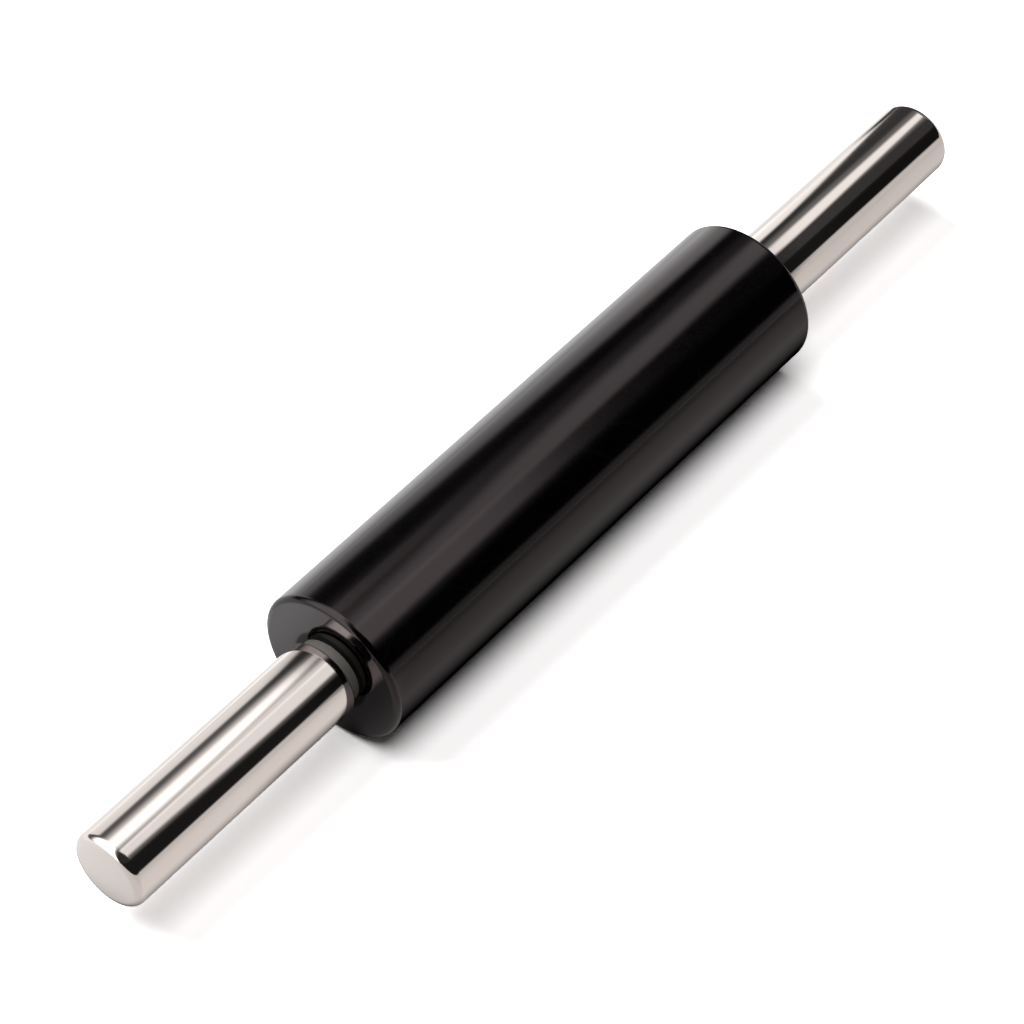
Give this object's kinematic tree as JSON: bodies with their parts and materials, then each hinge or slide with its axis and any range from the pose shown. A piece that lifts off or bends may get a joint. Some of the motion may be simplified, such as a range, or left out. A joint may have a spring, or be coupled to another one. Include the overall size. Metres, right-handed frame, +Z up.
{
  "type": "rolling pin",
  "caption": "Heavy stone rolling pin: polished black barrel that spins freely on an axle between two slim mirror-polished steel handles.",
  "frame": {"origin": "on the surface that the pin lies on, under the middle of the barrel; the pin's axis is 30 mm above it", "axes": "+X along the pin's axis towards the right handle, +Y across it, +Z up from the surface"},
  "size_m": [0.46, 0.06, 0.06],
  "materials": {
    "black_stone": "polished",
    "polished_stainless": "mirror polished",
    "neck_plastic": "satin",
    "black_plastic": "moulded",
    "core_plastic": "moulded",
    "bearing_steel": "ground",
    "bright_steel": "turned",
    "spring_steel": "blackened",
    "cage_brass": "pressed",
    "insert_brass": "turned"
  },
  "bodies": {
    "barrel": {"barrel": "black_stone", "left_bearing_housing": "neck_plastic", "right_bearing_housing": "neck_plastic", "left_dust_cap": "black_plastic", "right_dust_cap": "black_plastic", "left_outer_race": "bearing_steel", "right_outer_race": "bearing_steel"},
    "axle_and_handles": {"axle": "bright_steel", "left_inner_race": "bearing_steel", "right_inner_race": "bearing_steel", "left_retaining_ring": "spring_steel", "right_retaining_ring": "spring_steel", "left_spacer": "bright_steel", "right_spacer": "bright_steel", "left_lock_washer": "spring_steel", "right_lock_washer": "spring_steel", "left_lock_nut": "bright_steel", "right_lock_nut": "bright_steel", "left_threaded_insert": "insert_brass", "right_threaded_insert": "insert_brass", "left_end_bush": "black_plastic", "right_end_bush": "black_plastic", "left_handle_core": "core_plastic", "right_handle_core": "core_plastic", "left_handle_shell": "polished_stainless", "right_handle_shell": "polished_stainless"},
    "left_cage": {"left_bearing_cage": "cage_brass", "left_bearing_balls": "bearing_steel"},
    "right_cage": {"right_bearing_cage": "cage_brass", "right_bearing_balls": "bearing_steel"}
  },
  "joints": [
    {"name": "axle_spin", "type": "hinge", "parent": "barrel", "child": "axle_and_handles", "pos_m": [0, 0, 0.03], "axis": [1, 0, 0], "continuous": true},
    {"name": "left_cage_spin", "type": "hinge", "parent": "barrel", "child": "left_cage", "pos_m": [-0.1155, 0, 0.03], "axis": [1, 0, 0], "continuous": true},
    {"name": "right_cage_spin", "type": "hinge", "parent": "barrel", "child": "right_cage", "pos_m": [0.1155, 0, 0.03], "axis": [1, 0, 0], "continuous": true}
  ],
  "couplings": [
    {"joint": "left_cage_spin", "follows": "axle_spin", "ratio": 0.37037},
    {"joint": "right_cage_spin", "follows": "axle_spin", "ratio": 0.37037}
  ]
}
